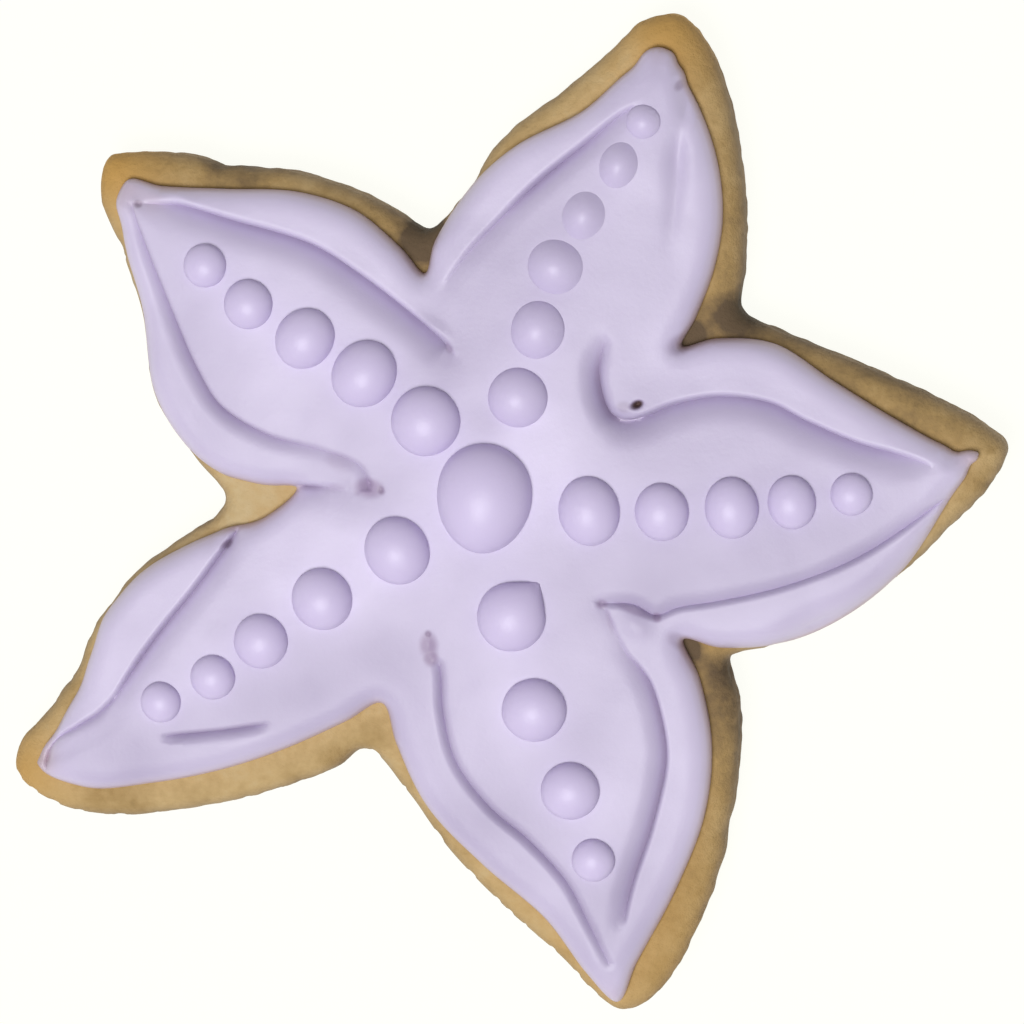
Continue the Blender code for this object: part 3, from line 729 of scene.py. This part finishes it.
def bridge(bm, lower, upper):
    for i, vert in enumerate(lower):
        after = (i + 1) % len(lower)
        bm.faces.new((vert, lower[after], upper[after], upper[i]))


def add_faces(bm, verts, faces):
    for face in faces:
        bm.faces.new([verts[i] for i in face])


def thinned(groups):
    """The points of (points, spacing) groups that keep their spacing from all those before."""
    size = max(spacing for _, spacing in groups)
    cells = {}
    kept = []
    for points, spacing in groups:
        for x, y in points:
            column, row = math.floor(x / size), math.floor(y / size)
            near = []
            for i in (column - 1, column, column + 1):
                for j in (row - 1, row, row + 1):
                    near += cells.get((i, j), ())
            if all((x - a) ** 2 + (y - b) ** 2 >= spacing**2 for a, b in near):
                cells.setdefault((column, row), []).append((x, y))
                kept.append((x, y))
    return kept


def hexagonal_grid(low, high, step):
    """Staggered rows of points over a rectangle."""
    rows = []
    for row, y in enumerate(np.arange(low[1], high[1], step * math.sqrt(0.75))):
        shift = (row % 2) * step / 2
        rows += [(x, y) for x in np.arange(low[0] + shift, high[0], step)]
    return np.array(rows)


def triangulated(outline, inner_points, lines=()):
    """Points and triangles that fill an outline, with the outline's points first."""
    count = len(outline)
    points = [Vector(p[:2]) for p in list(outline) + list(inner_points)]
    edges = [(i, (i + 1) % count) for i in range(count)] + list(lines)
    found, _, faces, origins, _, _ = delaunay_2d_cdt(
        points, edges, [], INSIDE_ONLY, MERGE_DISTANCE
    )
    order = sorted(range(len(found)), key=lambda i: min(origins[i], default=len(points)))
    place = {old: new for new, old in enumerate(order)}
    plan = np.array([found[i] for i in order])
    return plan, [tuple(place[i] for i in face) for face in faces]


def within(places, edge, margin):
    """The places that are more than a margin inside a closed edge."""
    return places[edge.depth(places) > margin]


def grid_within(edge, step, margin):
    """An even grid of places more than a margin inside a closed edge."""
    grid = hexagonal_grid(edge.line.min(axis=0), edge.line.max(axis=0), step)
    return within(grid, edge, margin)


def edge_rows(edge):
    """Rows of places that follow a closed edge at growing distances inside it."""
    groups = []
    for setback in EDGE_ROWS:
        margin = EDGE_ROW_MARGIN * setback
        row = within(edge.beside(setback), edge, margin)
        groups.append((row, min(EDGE_ROW_SPACING, margin)))
    return groups


def crease_vertices():
    """Places along every crease that keep their spacing, and the edges that join them."""
    places = []
    edges = []
    for _, path in CREASES:
        first = len(places)
        line = within(path.line, ICING_EDGE_LINE, DETAIL_MARGIN)
        places = thinned([(places, 0.0), (line, CREASE_SPACING)])
        edges += [(i, i + 1) for i in range(first, len(places) - 1)]
    return places, edges


def icing_plan():
    """The icing's top in plan: its points, its triangles and its edges along the creases."""
    places, edges = crease_vertices()
    groups = [(places, 0.0)]
    for x, y, half_length, half_width, *_ in PITS:
        reach = PIT_REACH * max(half_length, half_width)
        spot = hexagonal_grid((x - reach, y - reach), (x + reach, y + reach), PIT_STEP)
        groups.append((within(spot, ICING_EDGE_LINE, DETAIL_MARGIN), PIT_SPACING))
    spacing, growth = CREASE_ROW_SPACING
    for distance in CREASE_ROWS:
        rows = [path.beside(side * distance) for _, path in CREASES for side in (-1, 1)]
        rows = within(np.concatenate(rows), ICING_EDGE_LINE, CREASE_ROW_MARGIN)
        groups.append((rows, spacing + growth * distance))
    groups += edge_rows(ICING_EDGE_LINE)
    groups.append((grid_within(ICING_EDGE_LINE, SHEET_STEP, SHEET_MARGIN), SHEET_SPACING))
    first = len(ICING_OUTLINE)
    edges = [(first + a, first + b) for a, b in edges]
    return *triangulated(ICING_OUTLINE, thinned(groups), edges), edges


def paint_icing(obj):
    """Marks the see-through icing and its edge's painted shadow line, the painted shade in creases
    and pits, and the painted light, shade and tone.
    """
    places, _ = places_of(obj)
    gap = np.maximum(ICING_EDGE_LINE.depth(places), 0.0)
    # The see-through edge, whose tint also serves as a painted shadow line where it meets the
    # biscuit.
    thin_and_edge_shadow = np.exp(-((gap / THIN_EDGE) ** 2))
    add_attribute(obj, "thin_and_edge_shadow", np.maximum(thin_and_edge_shadow, patches(places, THIN_SPOTS)))
    # The pits' painted shade: how dark, and how brown.
    _, darkness, browns = pit_drop(places)
    # Painted shade along the creases.
    add_attribute(obj, "groove_shade", crease_drop(places)[1])
    add_attribute(obj, "pit_shade", darkness)
    add_attribute(obj, "pit_brown_shade", browns)
    paleness, reach = RIM_PALENESS
    rim = paleness * np.exp(-((gap / reach) ** 2))
    # The paleness along the rim, and the tone patches, which are mostly painted light and shade.
    add_attribute(obj, "shading_and_tone", rim + patches(places, TONES))


def make_icing(material):
    """The flood: its top with the creases, a coarse underside, and the short edge between them."""
    bm = bmesh.new()
    plan, faces, folds = icing_plan()
    top = add_ring(bm, plan, icing_top(plan))
    grid = grid_within(ICING_EDGE_LINE, HIDDEN_STEP, SHEET_MARGIN)
    under_plan, under_faces = triangulated(ICING_OUTLINE, grid)
    under = add_ring(bm, under_plan, biscuit_top(under_plan) - SINK)
    add_faces(bm, top, faces)
    add_faces(bm, under, under_faces)
    count = len(ICING_OUTLINE)
    bridge(bm, under[:count], top[:count])
    for a, b in folds:
        fold = bm.edges.get((top[a], top[b]))
        if fold:
            fold.smooth = False
    paint_icing(new_piece("icing_flood", bm, material, "icing", "icing"))


def wall_rings(bm):
    """The rings of the biscuit's wall, lumpy all over and tucked in at the foot."""
    side = BISCUIT_THICKNESS - BISCUIT_SHOULDER_DROP
    depth, size = WALL_CRUMB
    rings = []
    for height in np.linspace(0.0, side, WALL_RINGS):
        tuck = BISCUIT_FOOT * (1.0 - float(rounded(height, BISCUIT_FOOT_HEIGHT)))
        lumps = [noise.noise(Vector((x, y, height)) / size) for x, y in BISCUIT_OUTLINE]
        rings.append(add_ring(bm, inset(BISCUIT_OUTLINE, tuck + depth * np.array(lumps)), height))
    return rings


def paint_biscuit(obj):
    """Marks where the biscuit is toasted or painted with shade, where it is golden, and where it is
    the wall.
    """
    places, heights = places_of(obj)
    # Edges that face that bearing, away from the light, are painted with shade.
    bearing, amount = PAINTED_SHADE_SIDE
    spots = np.round(BISCUIT_EDGE.nearest(places)[1]).astype(int) % len(BISCUIT_OUTLINE)
    facing = -BISCUIT_EDGE.normals[spots] @ polar(1.0, bearing)
    # This mark holds the browning and the painted shade of the valleys and of the edges facing away
    # from the light.
    add_attribute(obj, "toast_and_shade", patches(places, BROWNED_AND_SHADED) + amount * np.clip(facing, 0.0, 1.0))
    add_attribute(obj, "gold", np.clip(patches(places, GOLDEN), 0.0, 1.0))
    add_attribute(obj, "wall", np.clip((WALL_TOP - heights) / WALL_FADE, 0.0, 1.0))


def make_biscuit(material):
    """The baked slab: a crumbly wall between a tucked foot and a rounded shoulder."""
    bm = bmesh.new()
    rings = wall_rings(bm)
    grid = grid_within(BISCUIT_EDGE, SHEET_STEP, BARE_MARGIN)
    bare = grid[ICING_EDGE_LINE.depth(grid) < BARE_OVERLAP]
    hidden = grid_within(BISCUIT_EDGE, HIDDEN_STEP, HIDDEN_MARGIN)
    groups = edge_rows(BISCUIT_EDGE) + [(bare, SHEET_SPACING), (hidden, HIDDEN_SPACING)]
    plan, faces = triangulated(ring_plan(rings[-1]), thinned(groups))
    depth, size, seed = CRUST
    heights = biscuit_top(plan) + depth * waves(plan, size, seed)
    count = len(BISCUIT_OUTLINE)
    add_faces(bm, rings[-1] + add_ring(bm, plan[count:], heights[count:]), faces)
    for lower, upper in zip(rings, rings[1:]):
        bridge(bm, lower, upper)
    plan, faces = triangulated(ring_plan(rings[0]), hidden)
    add_faces(bm, rings[0] + add_ring(bm, plan[count:], 0.0), faces)
    paint_biscuit(new_piece("baked_slab", bm, material, "biscuit", "biscuit"))


def bead_shape(half_length, half_width, taper, peak, seed):
    """A bead's uneven outline, narrower ahead by the taper and with a corner at its peak."""
    points = []
    bearing, size = peak
    spread = math.acos(1.0 / (1.0 + size))
    unevenness, busyness = BEAD_UNEVENNESS
    for turn in np.linspace(0.0, 2 * math.pi, BEAD_SEGMENTS, endpoint=False):
        ahead, aside = math.cos(turn), math.sin(turn)
        off = abs(math.remainder(turn - math.radians(bearing), 2 * math.pi))
        swell = 1.0 / math.cos(max(spread - off, 0.0))
        swell += unevenness * noise.noise((busyness * ahead, busyness * aside, seed))
        across = half_width * aside * (1.0 - taper * ahead) * swell
        points.append((half_length * ahead * swell, across))
    return np.array(points)


def dome(name, shape, height, softness, material, node):
    """A bead over its outline: half an egg, or a low bell when soft, with a skirt below its foot.

    Every ring is a little rounder than the one below it.
    """
    bm = bmesh.new()
    loops = [[bm.verts.new((x * MM, y * MM, -SINK * MM)) for x, y in shape]]
    kept = (1.0 + 2.0 * math.cos(2 * math.pi * BEAD_ROUNDING / BEAD_SEGMENTS)) / 3.0
    for angle in np.linspace(0.0, math.pi / 2, BEAD_RINGS)[:-1]:
        z = height * math.sin(angle) ** (1.0 + SOFT_BEAD[1] * softness)
        loops.append([bm.verts.new((x * MM, y * MM, z * MM)) for x, y in shape * math.cos(angle)])
        before = np.roll(shape, BEAD_ROUNDING, axis=0)
        after = np.roll(shape, -BEAD_ROUNDING, axis=0)
        shape = (before + shape + after) / 3.0 / kept
    for lower, upper in zip(loops, loops[1:]):
        bridge(bm, lower, upper)
    apex = bm.verts.new((0.0, 0.0, height * MM))
    for i, vert in enumerate(loops[-1]):
        bm.faces.new((vert, loops[-1][(i + 1) % len(shape)], apex))
    bm.faces.new(loops[0][::-1])
    return new_piece(name, bm, material, "beads", node)


def make_bead(node, centre, half_length, half_width, softness, heading, seed, material, taper=0.0):
    """A bead seated on the icing, leaning with the surface under it."""
    reach = BEAD_SEAT * (half_length + half_width)
    heights = icing_top(centre + reach * np.array([(0, 0), (1, 0), (-1, 0), (0, 1), (0, -1)]))
    slope_x = (heights[1] - heights[2]) / (2 * reach)
    slope_y = (heights[3] - heights[4]) / (2 * reach)
    lean = Vector((-slope_x, -slope_y, 1.0)).normalized()
    tilt = Vector((0, 0, 1)).rotation_difference(lean).to_matrix()
    peaked, bearing, size = PEAKED_BEAD
    peak = (bearing - heading, size if node == peaked else 0.0)
    shape = bead_shape(half_length, half_width, taper, peak, seed)
    height = BEAD_HEIGHT_SHARE * (1.0 - SOFT_BEAD[0] * softness) * (half_length + half_width) / 2
    obj = dome(node.replace("bead", "piped_dot"), shape, height, softness, material, node)
    add_attribute(obj, "soft", np.full(len(obj.data.vertices), softness))
    obj.location = Vector((*(centre - BISCUIT_MIDDLE), heights[1:].mean())) * MM
    obj.rotation_euler = (tilt @ Matrix.Rotation(math.radians(heading), 3, "Z")).to_euler()


def make_beads(material):
    make_bead(
        "bead_centre",
        np.array(CENTRE_BEAD_PLACE),
        *CENTRE_BEAD,
        CENTRE_BEAD_HEADING,
        BEAD_SEED,
        material,
        CENTRE_BEAD_TAPER,
    )
    for i, arm in enumerate(ARMS):
        for number, (along, across, *sizes) in enumerate(arm.beads, start=1):
            node = f"bead_{arm.name}_{number}"
            seed = ARM_SEEDS * i + number + BEAD_SEED
            make_bead(node, arm.place(along, across), *sizes, arm.heading, seed, material)


# Materials. Sizes, heights and depths are in millimetres here too.

ICING_COLOURS = ((0.455, 0.395, 0.565), (0.675, 0.605, 0.80))  # its darkest and palest colours, between which its tone and painted light and shade run
ICING_ROUGHNESS = 0.45
DOT_COLOURS = ((0.64, 0.55, 0.80), (0.71, 0.63, 0.86))
DOT_ROUGHNESS = 0.42
SUGAR_MOTTLE = (7.0, 2.0)  # size and detail of the noise
SUGAR_MIX = (0.25, 0.5, 0.5)  # the level, and the shares of the noise and of the tone with its painted light and shade
SUGAR_GRAIN = (0.5, 2.0)
SUGAR_GRAIN_HEIGHT = 0.02
SUGAR_SCATTER = (0.15, (1.0, 0.9, 1.0), 0.5)  # how much light goes in, its spread, and how deep
SUGAR_SPECULAR = 0.45

# The tints laid over the icing's own colour, in turn, by the marks that bring them out: the
# softer beads' own colour, painted shade in the creases and in the pits, the biscuit seen
# through thin icing with a painted shadow line along the edge, and the pits' dark brown
# painted shade.
SUGAR_TINTS = (
    ("soft", (0.61, 0.54, 0.74)),
    ("groove_shade", (0.47, 0.40, 0.54)),
    ("pit_shade", (0.41, 0.32, 0.49)),
    ("thin_and_edge_shadow", (0.55, 0.42, 0.46)),
    ("pit_brown_shade", (0.09, 0.05, 0.04)),
)

# The dough's colours, from the least to the most toasted; the darkest also serve as the painted
# shade in the valleys and on the edges that face away from the light.
CRUST_COLOURS = (
    (0.0, (0.62, 0.49, 0.28)),
    (0.3, (0.56, 0.39, 0.18)),
    (0.6, (0.40, 0.26, 0.10)),
    (1.0, (0.13, 0.085, 0.045)),
)
WALL_COLOURS = (
    (0.1, (0.48, 0.35, 0.20)),
    (0.6, (0.30, 0.21, 0.12)),
    (1.0, (0.09, 0.06, 0.03)),
)
GOLD_COLOUR = (0.56, 0.32, 0.085)
DOUGH_ROUGHNESS = 0.85
TOAST_PATCHES = (4.0, 4.0)
TOAST_SPECKS = (0.8, 3.0)
TOAST_MIX = (-0.175, 0.65, 0.3, 1.0)  # the level, and the shares of patches, specks and the browning and painted shade mark
CRUMB = (0.9, 6.0, 0.65)  # size, detail and roughness of the noise
CRUMB_HEIGHT = 0.25


def blank_material(name, roughness):
    """A material, its node tree and its shader."""
    made = bpy.data.materials.new(name)
    made.use_nodes = True
    tree = made.node_tree
    shader = tree.nodes["Principled BSDF"]
    shader.inputs["Roughness"].default_value = roughness
    return made, tree, shader


def noise_node(tree, size, detail, roughness=0.5):
    """Noise with features of the given size in millimetres, in the object's own space."""
    place = tree.nodes.new("ShaderNodeTexCoord")
    texture = tree.nodes.new("ShaderNodeTexNoise")
    texture.inputs["Scale"].default_value = 1.0 / (size * MM)
    texture.inputs["Detail"].default_value = detail
    texture.inputs["Roughness"].default_value = roughness
    tree.links.new(place.outputs["Object"], texture.inputs["Vector"])
    return texture.outputs["Fac"]


def attribute_node(tree, name):
    node = tree.nodes.new("ShaderNodeAttribute")
    node.attribute_name = name
    return node.outputs["Fac"]


def sum_node(tree, constant, *terms):
    """A constant plus each (socket, weight) term."""
    total = None
    for socket, weight in terms:
        node = tree.nodes.new("ShaderNodeMath")
        node.operation = "MULTIPLY_ADD"
        tree.links.new(socket, node.inputs[0])
        node.inputs[1].default_value = weight
        node.inputs[2].default_value = constant
        if total:
            tree.links.new(total, node.inputs[2])
        total = node.outputs["Value"]
    return total


def ramp_node(tree, source, *stops):
    """Colours by a value, through (value, colour) stops."""
    ramp = tree.nodes.new("ShaderNodeValToRGB")
    elements = ramp.color_ramp.elements
    elements[0].position, elements[0].color = stops[0][0], (*stops[0][1], 1.0)
    elements[1].position, elements[1].color = stops[-1][0], (*stops[-1][1], 1.0)
    for position, colour in stops[1:-1]:
        elements.new(position).color = (*colour, 1.0)
    tree.links.new(source, ramp.inputs["Fac"])
    return ramp.outputs["Color"]


def mix_node(tree, factor, first, second):
    """The first colour, turning into the second, a socket or a colour, as the factor grows."""
    mix = tree.nodes.new("ShaderNodeMix")
    mix.data_type = "RGBA"
    tree.links.new(factor, mix.inputs["Factor"])
    tree.links.new(first, mix.inputs["A"])
    if isinstance(second, tuple):
        mix.inputs["B"].default_value = (*second, 1.0)
    else:
        tree.links.new(second, mix.inputs["B"])
    return mix.outputs["Result"]


def add_bump(tree, shader, height, distance):
    bump = tree.nodes.new("ShaderNodeBump")
    bump.inputs["Distance"].default_value = distance * MM
    tree.links.new(height, bump.inputs["Height"])
    tree.links.new(bump.outputs["Normal"], shader.inputs["Normal"])


def sugar_material(name, dark, light, roughness):
    """Dried royal icing: faintly mottled lavender with painted light and shade, a satin sheen and a
    little depth.
    """
    made, tree, shader = blank_material(name, roughness)
    level, by_noise, by_tone = SUGAR_MIX
    mottle_and_shading = sum_node(
        tree,
        level,
        (noise_node(tree, *SUGAR_MOTTLE), by_noise),
        (attribute_node(tree, "shading_and_tone"), by_tone),
    )
    colour = ramp_node(tree, mottle_and_shading, (0.0, dark), (1.0, light))
    for mark, tint in SUGAR_TINTS:
        colour = mix_node(tree, attribute_node(tree, mark), colour, tint)
    tree.links.new(colour, shader.inputs["Base Color"])
    add_bump(tree, shader, noise_node(tree, *SUGAR_GRAIN), SUGAR_GRAIN_HEIGHT)
    weight, spread, depth = SUGAR_SCATTER
    shader.inputs["Subsurface Weight"].default_value = weight
    shader.inputs["Subsurface Radius"].default_value = spread
    shader.inputs["Subsurface Scale"].default_value = depth * MM
    shader.inputs["Specular IOR Level"].default_value = SUGAR_SPECULAR
    return made


def biscuit_material():
    """Baked dough: gold on top, caramel where it browned or is painted with shade, duller on the
    wall, with a fine crumb.
    """
    made, tree, shader = blank_material("baked_dough", DOUGH_ROUGHNESS)
    level, by_patches, by_specks, by_mark = TOAST_MIX
    toast_and_shade = sum_node(
        tree,
        level,
        (noise_node(tree, *TOAST_PATCHES), by_patches),
        (noise_node(tree, *TOAST_SPECKS), by_specks),
        (attribute_node(tree, "toast_and_shade"), by_mark),
    )
    top = ramp_node(tree, toast_and_shade, *CRUST_COLOURS)
    wall = ramp_node(tree, toast_and_shade, *WALL_COLOURS)
    colour = mix_node(tree, attribute_node(tree, "wall"), top, wall)
    colour = mix_node(tree, attribute_node(tree, "gold"), colour, GOLD_COLOUR)
    tree.links.new(colour, shader.inputs["Base Color"])
    add_bump(tree, shader, noise_node(tree, *CRUMB), CRUMB_HEIGHT)
    return made


# Studio. The camera's lengths are in millimetres, the light's and the table's in metres.

CAMERA_DISTANCE = 450.0
CAMERA_TILT = 12.0  # from straight down
CAMERA_BEARING = 35.0
CAMERA_AIM = (0.415, -0.219, 0.0)
PICTURE_WIDTH = 103.43  # at the height of the biscuit's top
SENSOR = 36.0
NEAREST = 0.01
KEY_SIZE = 0.5
KEY_DISTANCE = 0.9
KEY_ELEVATION = 75.0
KEY_BEARING = -112.0
KEY_SHARE = 0.84  # of the light on a level surface; the rest comes from all round
SKY_SHARE = 0.20
SKY_COLOUR = (1.0, 1.0, 1.0)
TABLE_RADIUS = 2.5
TABLE_SEGMENTS = 96
TABLE_GAP = 0.0001  # between the table and the cookie's underside
TABLE_COLOUR = (0.05, 0.05, 0.05)
TABLE_ROUGHNESS = 0.9
TABLE_GLOW = (1.0, 1.0, 0.94)
TABLE_GLOW_STRENGTH = 0.96


def direction(elevation, bearing):
    elevation, bearing = math.radians(elevation), math.radians(bearing)
    level = math.cos(elevation)
    return Vector((level * math.cos(bearing), level * math.sin(bearing), math.sin(elevation)))


def add_camera():
    data = bpy.data.cameras.new("camera")
    camera = bpy.data.objects.new("camera", data)
    bpy.context.scene.collection.objects.link(camera)
    bearing = math.radians(CAMERA_BEARING)
    hinge = Vector((-math.sin(bearing), math.cos(bearing), 0.0))
    turn = Matrix.Rotation(math.radians(CAMERA_TILT), 4, hinge)
    back = direction(90.0 - CAMERA_TILT, CAMERA_BEARING)
    place = (Vector(CAMERA_AIM) + back * CAMERA_DISTANCE) * MM
    camera.matrix_world = Matrix.Translation(place) @ turn
    depth = CAMERA_DISTANCE - BISCUIT_THICKNESS * math.cos(math.radians(CAMERA_TILT))
    data.sensor_width = SENSOR
    data.lens = SENSOR * depth / PICTURE_WIDTH
    data.clip_start = NEAREST
    bpy.context.scene.camera = camera


def add_light():
    data = bpy.data.lights.new("softbox", "AREA")
    data.shape = "DISK"
    data.size = KEY_SIZE
    away = direction(KEY_ELEVATION, KEY_BEARING)
    data.energy = KEY_SHARE * math.pi**2 * KEY_DISTANCE**2 / away.z
    light = bpy.data.objects.new("softbox", data)
    bpy.context.scene.collection.objects.link(light)
    light.location = away * KEY_DISTANCE
    light.rotation_euler = away.to_track_quat("Z", "Y").to_euler()
    world = bpy.data.worlds.new("studio")
    world.use_nodes = True
    background = world.node_tree.nodes["Background"]
    background.inputs["Color"].default_value = (*SKY_COLOUR, 1.0)
    background.inputs["Strength"].default_value = SKY_SHARE
    bpy.context.scene.world = world


def add_floor():
    """A plain white table that glows a little, so that the shadow on it stays faint."""
    bm = bmesh.new()
    bmesh.ops.create_circle(bm, cap_ends=True, segments=TABLE_SEGMENTS, radius=TABLE_RADIUS)
    mesh = bpy.data.meshes.new("floor")
    bm.to_mesh(mesh)
    bm.free()
    floor = bpy.data.objects.new("floor", mesh)
    bpy.context.scene.collection.objects.link(floor)
    floor.location.z = CAD_BOX[0].z - TABLE_GAP
    made, _, shader = blank_material("white_table", TABLE_ROUGHNESS)
    shader.inputs["Base Color"].default_value = (*TABLE_COLOUR, 1.0)
    shader.inputs["Emission Color"].default_value = (*TABLE_GLOW, 1.0)
    shader.inputs["Emission Strength"].default_value = TABLE_GLOW_STRENGTH
    mesh.materials.append(made)


make_biscuit(biscuit_material())
make_icing(sugar_material("lavender_icing", *ICING_COLOURS, ICING_ROUGHNESS))
make_beads(sugar_material("lavender_dots", *DOT_COLOURS, DOT_ROUGHNESS))
add_floor()
add_light()
add_camera()
bpy.context.scene.view_settings.view_transform = "Standard"
bpy.context.scene.view_settings.look = "None"
